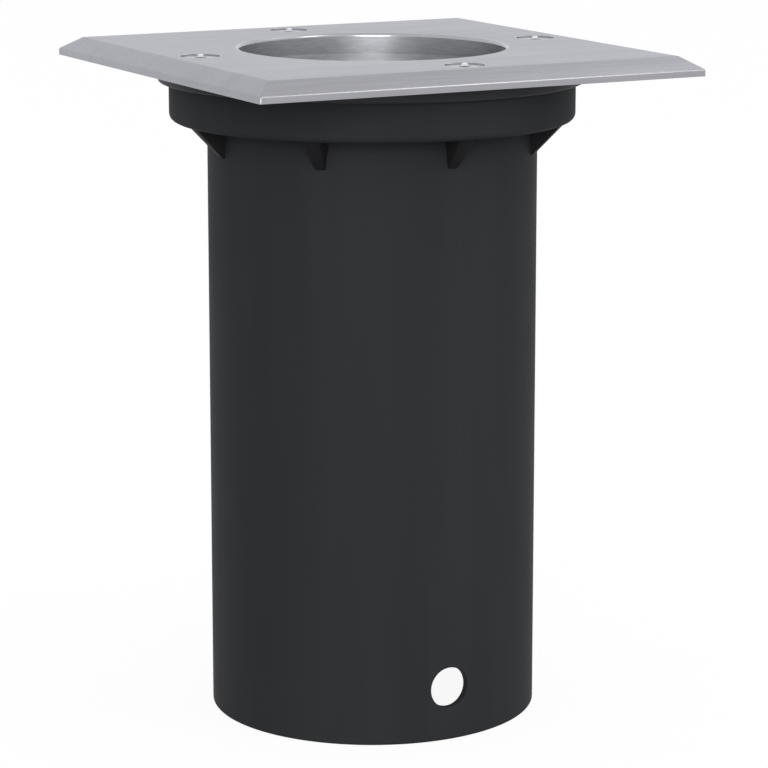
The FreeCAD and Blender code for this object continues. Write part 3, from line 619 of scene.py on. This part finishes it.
WIRE_BROWN = moulded_plastic(
    "brown silicone", (0.13, 0.05, 0.02), (0.17, 0.07, 0.03), 0.5, 0.3)
WIRE_BLUE = moulded_plastic(
    "blue silicone", (0.02, 0.09, 0.38), (0.03, 0.12, 0.46), 0.5, 0.3)
WIRE_GREEN = moulded_plastic(
    "green silicone", (0.08, 0.36, 0.06), (0.12, 0.44, 0.09), 0.5, 0.3)

# Every CAD node gets its material, also where a piece replaces it.
NODE_MATERIALS = {
    "mounting_sleeve": BLACK_PLASTIC,
    "cover_plate": STEEL,
    "cover_screws": SCREW_STEEL,
    "lens_gasket": SILICONE,
    "lens_glass": GLASS,
    "lamp_housing": CAST_COAT,
    "lamp_body": LAMP_WHITE,
    "lamp_lens": FROSTED,
    "lamp_base": LAMP_WHITE,
    "lamp_pins": NICKEL,
    "lamp_holder": CERAMIC,
    "holder_contacts": BRASS,
    "holder_screws": SCREW_STEEL,
    "holder_bracket": ZINC,
    "bracket_screws": SCREW_STEEL,
    "terminal_block": NYLON,
    "terminal_clamps": BRASS,
    "terminal_screws": SCREW_STEEL,
    "block_screw": SCREW_STEEL,
    "live_wire": WIRE_BROWN,
    "neutral_wire": WIRE_BLUE,
    "earth_wire": WIRE_GREEN,
    "earth_ring_terminal": NICKEL,
    "earth_screw": BRASS,
    "gland_body": GLAND_NYLON,
    "gland_washer": RUBBER,
    "gland_locknut": GLAND_NYLON,
    "gland_seal": RUBBER,
    "gland_cap": GLAND_NYLON,
}
for node_name, node_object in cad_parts.items():
    node_object.data.materials.clear()
    node_object.data.materials.append(NODE_MATERIALS[node_name])


# --- mounting sleeve --------------------------------------------------------------
# A face belongs to a rib, and takes the rib plastic's painted shade, where it stands this far out
# of the tube, between these distances under the collar, and isn't in the fillet that joins tube
# and collar.
RIB_OUT = 0.05
RIB_UNDER_LEAST = 0.02
RIB_UNDER_MOST = 7.1
FILLET_ZONE = 0.42


def make_sleeve():
    sleeve = lathe("sleeve_moulding", rounded_path([
        (TUBE_R - WALL, 0, 0.4),
        (TUBE_R, 0, 0.6),
        (TUBE_R, COLLAR_BASE, 0.4),
        (COLLAR_R, COLLAR_BASE, 1.6),
        (COLLAR_R, sleeve_high.z, 0.35),
        (COLLAR_R - WALL, sleeve_high.z, 0.3),
        (COLLAR_R - WALL, COLLAR_BASE + WALL, 0.5),
        (TUBE_R - WALL, COLLAR_BASE + WALL, 0.4),
    ]))
    combine(sleeve, ring_of("ribs", rib, RIB_COUNT), "UNION")
    combine(sleeve, cable_hole_cutter(), "DIFFERENCE")
    dress(sleeve, "sleeve", "sleeve_plastic", "mounting_sleeve", BLACK_PLASTIC, RIB_SHADE_PLASTIC)
    # The ribs' faces take the second, darker plastic: painted shade.
    paint(sleeve, is_rib)


def rib():
    """Stiffener that widens from its foot on the tube to the collar's underside."""
    root = TUBE_R - WALL / 2
    return wedge("rib", [
        (root, TUBE_R + RIB_FOOT_REACH, RIB_FOOT_T, COLLAR_BASE - RIB_DROP),
        (root, TUBE_R + RIB_REACH, RIB_TOP_T, COLLAR_BASE),
        (root, TUBE_R + RIB_REACH, RIB_TOP_T, COLLAR_BASE + WALL / 2),
    ], RIB_EDGE)


def is_rib(polygon):
    """1 on the ribs' faces, which take the painted shade, 0 on the rest of the moulding."""
    point = polygon.center
    reach = math.hypot(point.x, point.y) / MM
    height = point.z / MM
    fillet = reach < TUBE_R + FILLET_ZONE and height > COLLAR_BASE - FILLET_ZONE
    under = COLLAR_BASE - RIB_UNDER_MOST < height < COLLAR_BASE - RIB_UNDER_LEAST
    return int(reach > TUBE_R + RIB_OUT and under and not fillet)


def cable_hole_cutter():
    """Round hole on the -Y side with a softly broken outer edge."""
    start = TUBE_R - 4 * WALL
    end = TUBE_R + WALL
    cutter = lathe("hole_cutter", rounded_path([
        (0, start, 0),
        (HOLE_R, start, 0),
        (HOLE_R, TUBE_R - HOLE_FLARE, HOLE_ROUND),
        (HOLE_R + HOLE_FLARE, TUBE_R + HOLE_FLARE / 4, 0),
        (HOLE_R + HOLE_FLARE, end, 0),
        (0, end, 0),
    ]), SMALL_SEGMENTS)
    cutter.data.transform(Matrix.Rotation(math.pi / 2, 4, "X"))
    cutter.data.transform(Matrix.Translation((0, 0, HOLE_Z * MM)))
    return cutter


# --- cover ------------------------------------------------------------------------
FLAT = 0.999                    # a face whose normal is this upright is flat
SINK_ZONE = 0.2                 # beyond a sink's radius


def make_plate():
    """Bevelled square plate with its aperture, its relief underneath and its sinks."""
    rim_base = glass_high.z
    side = rounded_path([
        (PLATE_HALF, rim_base, 0),
        (PLATE_HALF, PLATE_BASE + EDGE_H, EDGE_ROUND),
        (PLATE_HALF - BEVEL_RUN, PLATE_TOP, BEVEL_ROUND),
        (PLATE_HALF - 3 * BEVEL_RUN, PLATE_TOP, 0),
    ], closed=False)
    plate = square_loft("steel_cover", side, CORNER_ROUND)
    bore = [(0, rim_base - CLEAR), (APERTURE_R, rim_base - CLEAR)]
    for step in range(LIP_STEPS + 1):
        angle = math.pi / 2 * step / LIP_STEPS
        bore.append((
            APERTURE_R + APERTURE_ROUND * (1 - math.cos(angle)),
            PLATE_TOP - APERTURE_ROUND * (1 - math.sin(angle))))
    bore.append((APERTURE_R + APERTURE_ROUND, PLATE_TOP + CLEAR))
    bore.append((0, PLATE_TOP + CLEAR))
    combine(plate, lathe("bore_cutter", bore), "DIFFERENCE")
    far = 2 * PLATE_HALF
    relief = lathe("relief_cutter", [
        (RIM_R, rim_base - CLEAR),
        (far, rim_base - CLEAR),
        (far, PLATE_BASE),
        (RELIEF_R, PLATE_BASE),
        (RELIEF_R, PLATE_BASE + RELIEF_DEPTH),
        (RIM_R, PLATE_BASE + RELIEF_DEPTH),
    ])
    combine(plate, relief, "DIFFERENCE")
    combine(plate, ring_of("sinks", sink_cutter, SCREW_COUNT), "DIFFERENCE")
    dress(plate, "lamp_unit", "plate_steel", "cover_plate", STEEL, STEEL_BORE, STEEL_LIP)
    paint(plate, turned_zone)


def sink_cutter():
    """Clearance hole, cone and broken edge for a countersunk screw."""
    return lathe("sink_cutter", [
        (0, PLATE_BASE - 2 * CLEAR),
        (SCREW_R + SINK_GAP, PLATE_BASE - 2 * CLEAR),
        (SCREW_R + SINK_GAP, SCREW_NECK + SINK_GAP),
        (SINK_R, SCREW_NECK + SINK_R - SCREW_R),
        (SINK_R, PLATE_TOP - SINK_EDGE),
        (SINK_R + SINK_EDGE, PLATE_TOP),
        (SINK_R + SINK_EDGE, PLATE_TOP + CLEAR),
        (0, PLATE_TOP + CLEAR),
    ], SMALL_SEGMENTS, (SCREW_CIRCLE, 0))


def screw_centres():
    """Where the screws stand, on the middle lines of the cover."""
    turns = [2 * math.pi * index / SCREW_COUNT for index in range(SCREW_COUNT)]
    return [(SCREW_CIRCLE * math.cos(turn), SCREW_CIRCLE * math.sin(turn)) for turn in turns]


def turned_zone(polygon):
    """1 on the turned wall of the aperture, 2 on its rounded lip and in the screws' sinks,
    0 on the brushed faces."""
    x, y, z = polygon.center / MM
    if abs(polygon.normal.z) > FLAT:
        return 0
    if any(math.dist((x, y), centre) < SINK_R + SINK_ZONE for centre in screw_centres()):
        return 2
    if math.hypot(x, y) > APERTURE_R + APERTURE_ROUND:
        return 0
    return 2 if z > PLATE_TOP - APERTURE_ROUND else 1


# --- cover screws -----------------------------------------------------------------
# Heights between which a face inside the socket's radius belongs to the socket and takes its
# painted shade.
SOCKET_ZONE_LOW = SOCKET_FLOOR - 0.4
SOCKET_ZONE_HIGH = SCREW_TOP - 0.16


def make_screws():
    """Countersunk screws with hexagon sockets, rounded head rims and dished sockets; the sockets
    carry painted shade.
    """
    outline = rounded_path([
        (0, screw_low.z, 0),
        (SCREW_R, screw_low.z, 0.3),
        (SCREW_R, SCREW_NECK, 0),
        (SCREW_HEAD_R, SCREW_RIM, 0.08),
        (SCREW_HEAD_R, SCREW_TOP, 0.3),
        (0, SCREW_TOP, 0),
    ])
    socket_outline = [
        (0, SOCKET_FLOOR - SOCKET_DISH),
        (SOCKET_R, SOCKET_FLOOR),
        (SOCKET_R, SCREW_TOP - SOCKET_MOUTH_H),
        (SOCKET_R + SOCKET_FLARE, SCREW_TOP + SOCKET_CLEAR),
        (0, SCREW_TOP + SOCKET_CLEAR),
    ]
    for number, centre in enumerate(screw_centres(), 1):
        screw = lathe("cover_screw_%d" % number, outline, SMALL_SEGMENTS, centre)
        combine(screw, lathe("socket", socket_outline, HEX_SIDES, centre), "DIFFERENCE")
        dress(screw, "lamp_unit", "screw_steel", "cover_screws", SCREW_STEEL, SOCKET_SHADE_STEEL)
        # The sockets' faces take the second, darker steel: painted shade.
        paint(screw, lambda polygon: is_socket(polygon.center, centre))


def is_socket(point, centre):
    """1 on a socket's walls and floor, which take the painted shade, 0 on the rest of its screw.
    """
    reach = math.hypot(point.x / MM - centre[0], point.y / MM - centre[1])
    return int(reach < SOCKET_R and SOCKET_ZONE_LOW < point.z / MM < SOCKET_ZONE_HIGH)


# --- glass and gasket -------------------------------------------------------------
def make_glass():
    glass = drum(
        "toughened_lens", glass_high.x, glass_low.z, glass_high.z, ROUND_SEGMENTS,
        edge=GLASS_EDGE)
    dress(glass, "lamp_unit", "lens_glass", "lens_glass", GLASS)


def make_gasket():
    """U-shaped silicone ring round the glass's edge."""
    gasket = lathe("silicone_gasket", rounded_path([
        (GASKET_BORE_R, gasket_low.z, 0.2),
        (gasket_high.x, gasket_low.z, 0.3),
        (gasket_high.x, gasket_high.z, 0.3),
        (GASKET_BORE_R, gasket_high.z, 0.2),
        (GASKET_BORE_R, glass_high.z, 0.1),
        (glass_high.x, glass_high.z, 0),
        (glass_high.x, glass_low.z, 0),
        (GASKET_BORE_R, glass_low.z, 0.1),
    ]))
    dress(gasket, "lamp_unit", "gasket_silicone", "lens_gasket", SILICONE)


# --- lamp housing -----------------------------------------------------------------
# How far a bare face may be outside the bore, under the pocket's floor, beyond either
# wall, and under the pot's floor, where the blind holes end.
BARE_SIDE = 0.1
BARE_POCKET = 0.1
BARE_OUT = 0.05
BARE_DOWN = 2.2


def make_housing():
    """Cast pot, coated outside and bare inside, with its bosses and holes."""
    housing = lathe("cast_housing", rounded_path([
        (0, housing_low.z, 0),
        (POT_FOOT_R, housing_low.z, 1.8),
        (POT_TOP_R, HEAD_BASE, 0.8),
        (HEAD_R, HEAD_BASE, 0.9),
        (HEAD_R, sleeve_high.z, 0.3),
        (housing_high.x, sleeve_high.z, 0.4),
        (housing_high.x, housing_high.z, 0.4),
        (POCKET_R, housing_high.z, 0.2),
        (POCKET_R, POCKET_FLOOR, 0.3),
        (BORE_TOP_R, POCKET_FLOOR, 0.3),
        (BORE_FOOT_R, POT_FLOOR, 1.5),
        (0, POT_FLOOR, 0),
    ]))
    bosses = [(EARTH_BOSS_R, EARTH_BOSS_TOP, EARTH_PLACE)]
    bosses += [(FOOT_BOSS_R, FOOT_BOSS_TOP, place) for place in FOOT_PLACES]
    combine(housing, gather("bosses", [
        drum("boss", radius, POT_FLOOR - BOSS_BITE, top, centre=place, edge=BOSS_EDGE)
        for radius, top, place in bosses
    ]), "UNION")
    holes = [
        (GLAND_HOLE_R, housing_low.z - CLEAR, POT_FLOOR + CLEAR, GLAND_PLACE),
        (EARTH_HOLE_R, EARTH_HOLE_BASE, EARTH_BOSS_TOP + CLEAR, EARTH_PLACE),
        (BLOCK_HOLE_R, BLOCK_HOLE_BASE, POT_FLOOR + CLEAR, BLOCK_PLACE),
    ]
    for place in FOOT_PLACES:
        holes.append((FOOT_HOLE_R, FOOT_HOLE_BASE, FOOT_BOSS_TOP + CLEAR, place))
    for place in screw_centres():
        holes.append((COVER_HOLE_R, screw_low.z - COVER_HOLE_SPARE, housing_high.z + CLEAR, place))
    combine(housing, gather("holes", [
        drum("hole", radius, base, top, centre=place) for radius, base, top, place in holes
    ]), "DIFFERENCE")
    dress(housing, "lamp_unit", "housing_coat", "lamp_housing", CAST_COAT, BARE_CAST)
    paint(housing, is_inside)


def is_inside(polygon):
    """1 on the pot's uncoated bore, pocket and floor, 0 on its coated outside."""
    point = polygon.center
    reach = math.hypot(point.x, point.y) / MM
    height = point.z / MM
    wide = POCKET_R if height > POCKET_FLOOR - BARE_POCKET else BORE_TOP_R + BARE_SIDE
    return int(reach < wide + BARE_OUT and height > POT_FLOOR - BARE_DOWN)


# --- lamp -------------------------------------------------------------------------
def make_lamp():
    """Reflector lamp: grooved bowl with a rolled rim, and its pebbled front."""
    rim = lamp_high.z - LAMP_RIM_H
    outer = lamp_high.x
    bore = outer - LAMP_WALL
    bowl = lathe("lamp_bowl", rounded_path([
        (0, lamp_low.z, 0),
        (LAMP_NECK_R, lamp_low.z, 0.8),
        (outer, rim, 2.5),
        (outer, lamp_high.z, 0.5),
        (bore, lamp_high.z, 0.4),
        (bore, lens_low.z, 0),
        (bore - LAMP_WALL, lens_low.z, 0.3),
        (LAMP_NECK_R - LAMP_WALL, rim - LAMP_BOWL_DEPTH, 1.5),
        (0, rim - LAMP_BOWL_DEPTH, 0),
    ]))
    slope = (outer - LAMP_NECK_R) / (rim - lamp_low.z)

    def groove():
        levels = []
        for z in (lamp_low.z + GROOVE_FOOT, rim - LAMP_WALL):
            floor_r = LAMP_NECK_R - GROOVE_DEPTH + slope * (z - lamp_low.z)
            levels.append((floor_r, outer + LAMP_WALL, GROOVE_W, z))
        return wedge("groove", levels)

    combine(bowl, ring_of("grooves", groove, GROOVE_COUNT), "DIFFERENCE")
    dress(bowl, "lamp", "lamp_shell", "lamp_body", LAMP_WHITE)
    front = lathe("lamp_front", rounded_path([
        (0, lens_low.z, 0),
        (lens_high.x, lens_low.z, 0.2),
        (lens_high.x, lens_high.z, 0.4),
        (lens_high.x - FRONT_RIM_W, lens_high.z, 0.3),
        (lens_high.x - FRONT_DISH_IN, lens_high.z - FRONT_DISH, 0.2),
        (0, lens_high.z - FRONT_DISH, 0),
    ]))
    dress(front, "lamp", "lamp_diffuser", "lamp_lens", FROSTED)


# --- cable gland ------------------------------------------------------------------
def gland_lathe(name, outline):
    return lathe(name, outline, SMALL_SEGMENTS, GLAND_PLACE)


def crowned_hexagon(name, radius, low, high, crown):
    """Hexagonal bar whose ends are turned down to the crown's outline."""
    bar = drum(name, radius, low, high, HEX_SIDES, GLAND_PLACE)
    combine(bar, gland_lathe("crown", rounded_path(crown)), "INTERSECT")
    return bar


def thread_outline(low, high, radius):
    """Outline of a round bar with a fine ridge for each turn of its thread."""
    root = radius - THREAD_DEPTH
    outline = [(0, low), (root, low)]
    z = low
    while z + THREAD_PITCH <= high:
        for share in THREAD_CREST:
            outline.append((radius, z + THREAD_PITCH * share))
        outline.append((root, z + THREAD_PITCH))
        z += THREAD_PITCH
    outline.append((root, high))
    outline.append((0, high))
    return outline


def ring(name, outer, inner, low, high, edge):
    return gland_lathe(name, rounded_path([
        (inner, low, edge), (outer, low, edge), (outer, high, edge), (inner, high, edge),
    ]))


def make_gland():
    """Gland body with its hexagon and two threads, its flat washer and its cable seal."""
    corner = GLAND_HEX_ACROSS / math.sqrt(3)
    hex_top = washer_low.z
    hex_base = hex_top - GLAND_HEX_H
    body = crowned_hexagon("gland_hexagon", corner, hex_base, hex_top, [
        (0, hex_base - END_CLEAR, 0),
        (corner - CROWN_RUN, hex_base - END_CLEAR, 0),
        (corner + CROWN_CLEAR, hex_base + CROWN_H, 0),
        (corner + CROWN_CLEAR, hex_top - CROWN_H, 0),
        (corner - CROWN_RUN, hex_top + END_CLEAR, 0),
        (0, hex_top + END_CLEAR, 0),
    ])
    neck = thread_outline(gland_low.z, hex_base + BITE, GLAND_NECK_R)
    stem = thread_outline(hex_top - BITE, gland_high.z, GLAND_STEM_R)
    combine(body, gland_lathe("neck", neck), "UNION")
    combine(body, gland_lathe("stem", stem), "UNION")
    combine(body, gland_lathe("bore", [
        (0, gland_low.z - CLEAR),
        (GLAND_SEAT_R, gland_low.z - CLEAR),
        (GLAND_SEAT_R, seal_high.z),
        (GLAND_CABLE_R, seal_high.z),
        (GLAND_CABLE_R, gland_high.z + CLEAR),
        (0, gland_high.z + CLEAR),
    ]), "DIFFERENCE")
    dress(body, "lamp_unit", "gland_nylon", "gland_body", GLAND_NYLON)
    washer = ring(
        "gland_flat_washer", WASHER_R, WASHER_BORE_R, washer_low.z, washer_high.z, edge=0.3)
    dress(washer, "lamp_unit", "seal_rubber", "gland_washer", RUBBER)
    seal = ring("gland_cable_seal", SEAL_R, SEAL_BORE_R, seal_low.z, seal_high.z, edge=0.4)
    dress(seal, "lamp_unit", "seal_rubber", "gland_seal", RUBBER)


def make_gland_cap():
    """Domed compression nut with flats for the spanner and the cable's mouth."""
    corner = CAP_HEX_ACROSS / math.sqrt(3)
    cap = crowned_hexagon("gland_nut", corner, cap_low.z, cap_high.z, [
        (0, cap_low.z - END_CLEAR, 0),
        (CAP_FACE_R, cap_low.z - END_CLEAR, 0.8),
        (corner + CROWN_CLEAR, cap_low.z + CAP_DOME_H, 2.0),
        (corner + CROWN_CLEAR, cap_high.z - CROWN_H, 0),
        (corner - CAP_CROWN_RUN, cap_high.z + END_CLEAR, 0),
        (0, cap_high.z + END_CLEAR, 0),
    ])
    combine(cap, gland_lathe("mouth", rounded_path([
        (0, cap_low.z - CLEAR, 0),
        (CAP_FLARE_R, cap_low.z - CLEAR, 0),
        (CAP_MOUTH_R, cap_low.z + CAP_FLARE_H, 0.4),
        (CAP_MOUTH_R, seal_low.z, 0),
        (CAP_THREAD_R, seal_low.z, 0),
        (CAP_THREAD_R, cap_high.z + CLEAR, 0),
        (0, cap_high.z + CLEAR, 0),
    ])), "DIFFERENCE")
    dress(cap, "lamp_unit", "gland_nylon", "gland_cap", GLAND_NYLON)


make_sleeve()
make_plate()
make_screws()
make_glass()
make_gasket()
make_housing()
make_lamp()
make_gland()
make_gland_cap()


# --- floor and world --------------------------------------------------------------
# From here on, sizes are in metres.
WHITE = (1, 1, 1, 1)
FLOOR_HALF = 4.0
FLOOR_PAINT = (0.93, 0.93, 0.93, 1)
FLOOR_GLOW_SHARE = 0.93
FLOOR_BOUNCE = (0.14, 0.14, 0.14, 1)
FLOOR_ROUGH = 0.9
SKY_LIGHT = 0.95
SKY_SEEN = 1.0


def make_floor():
    """Pale floor: white with a soft shadow where it is seen, and darker where it only
    throws light back up."""
    half = FLOOR_HALF
    mesh = bpy.data.meshes.new("floor")
    mesh.from_pydata(
        [(-half, -half, 0), (half, -half, 0), (half, half, 0), (-half, half, 0)],
        [], [(0, 1, 2, 3)])
    floor = new_object("floor", mesh)
    material, nodes, links, shader = new_material("pale floor")
    shader.inputs["Base Color"].default_value = FLOOR_BOUNCE
    shader.inputs["Roughness"].default_value = FLOOR_ROUGH
    shader.inputs["Specular IOR Level"].default_value = 0.0
    matt = nodes.new("ShaderNodeBsdfDiffuse")
    matt.inputs["Color"].default_value = FLOOR_PAINT
    glow = nodes.new("ShaderNodeEmission")
    glow.inputs["Color"].default_value = WHITE
    glow.inputs["Strength"].default_value = 1.0
    seen = nodes.new("ShaderNodeMixShader")
    seen.inputs["Fac"].default_value = FLOOR_GLOW_SHARE
    links.new(matt.outputs["BSDF"], seen.inputs[1])
    links.new(glow.outputs["Emission"], seen.inputs[2])
    links.new(
        shown_rays(nodes, links, shader.outputs["BSDF"], seen.outputs["Shader"]),
        nodes["Material Output"].inputs["Surface"])
    mesh.materials.append(material)


def shown_rays(nodes, links, hidden, shown):
    """Shader that shows one thing to camera, glossy and transmission rays and another
    to the rest."""
    path = nodes.new("ShaderNodeLightPath")
    mix = nodes.new("ShaderNodeMixShader")
    links.new(highest(nodes, links, [
        path.outputs["Is Camera Ray"],
        path.outputs["Is Glossy Ray"],
        path.outputs["Is Transmission Ray"],
    ]), mix.inputs["Fac"])
    links.new(hidden, mix.inputs[1])
    links.new(shown, mix.inputs[2])
    return mix.outputs["Shader"]


def make_background(nodes, strength):
    background = nodes.new("ShaderNodeBackground")
    background.inputs["Color"].default_value = WHITE
    background.inputs["Strength"].default_value = strength
    return background.outputs["Background"]


def make_world():
    world = bpy.data.worlds.new("studio")
    bpy.context.scene.world = world
    world.use_nodes = True
    nodes = world.node_tree.nodes
    links = world.node_tree.links
    nodes.clear()
    soft = make_background(nodes, SKY_LIGHT)
    white = make_background(nodes, SKY_SEEN)
    output = nodes.new("ShaderNodeOutputWorld")
    links.new(shown_rays(nodes, links, soft, white), output.inputs["Surface"])


# --- lights and camera ------------------------------------------------------------
# The camera stands at the photograph's viewing angle. Its shift is smaller than the
# photograph's own, so that the other views keep the object in their frame.
CAMERA_AZIMUTH = math.radians(-27.64)
CAMERA_DISTANCE = 0.7185
CAMERA_HEIGHT = 0.230
CAMERA_TILT = math.radians(11.269)
CAMERA_PAN = math.radians(-0.215)
CAMERA_SHIFT = -0.06
CLIP_START = 0.01
CLIP_END = 50.0
FOCAL_PIXELS = 3138.4
FRAME_PIXELS = 768.0
SENSOR = 36.0                   # millimetres


def make_light(name, place, target, side, power):
    """Square soft box that points at its target."""
    light = bpy.data.lights.new(name, "AREA")
    light.shape = "RECTANGLE"
    light.size = side
    light.size_y = side
    light.energy = power
    lamp = new_object(name, light)
    lamp.location = place
    aim = Vector(target) - Vector(place)
    lamp.rotation_euler = aim.to_track_quat("-Z", "Y").to_euler()


def make_camera():
    data = bpy.data.cameras.new("camera")
    data.sensor_width = SENSOR
    data.lens = FOCAL_PIXELS / FRAME_PIXELS * SENSOR
    data.shift_y = CAMERA_SHIFT
    data.clip_start = CLIP_START
    data.clip_end = CLIP_END
    camera = new_object("camera", data)
    camera.location = (
        CAMERA_DISTANCE * math.sin(CAMERA_AZIMUTH),
        -CAMERA_DISTANCE * math.cos(CAMERA_AZIMUTH),
        CAMERA_HEIGHT)
    camera.rotation_euler = (math.pi / 2 - CAMERA_TILT, 0, CAMERA_AZIMUTH + CAMERA_PAN)
    bpy.context.scene.camera = camera


make_floor()
make_world()
make_light("key", place=(-0.70, -1.32, 0.45), target=(0, 0, 0.08), side=0.8, power=10.0)
make_light("fill", place=(0.85, 0.1, 1.0), target=(0, 0, 0.15), side=0.5, power=0.5)
make_light("edge", place=(0.60, -0.80, 0.98), target=(0, 0, 0.15), side=0.4, power=2.3)
make_camera()
bpy.context.scene.view_settings.view_transform = "Standard"
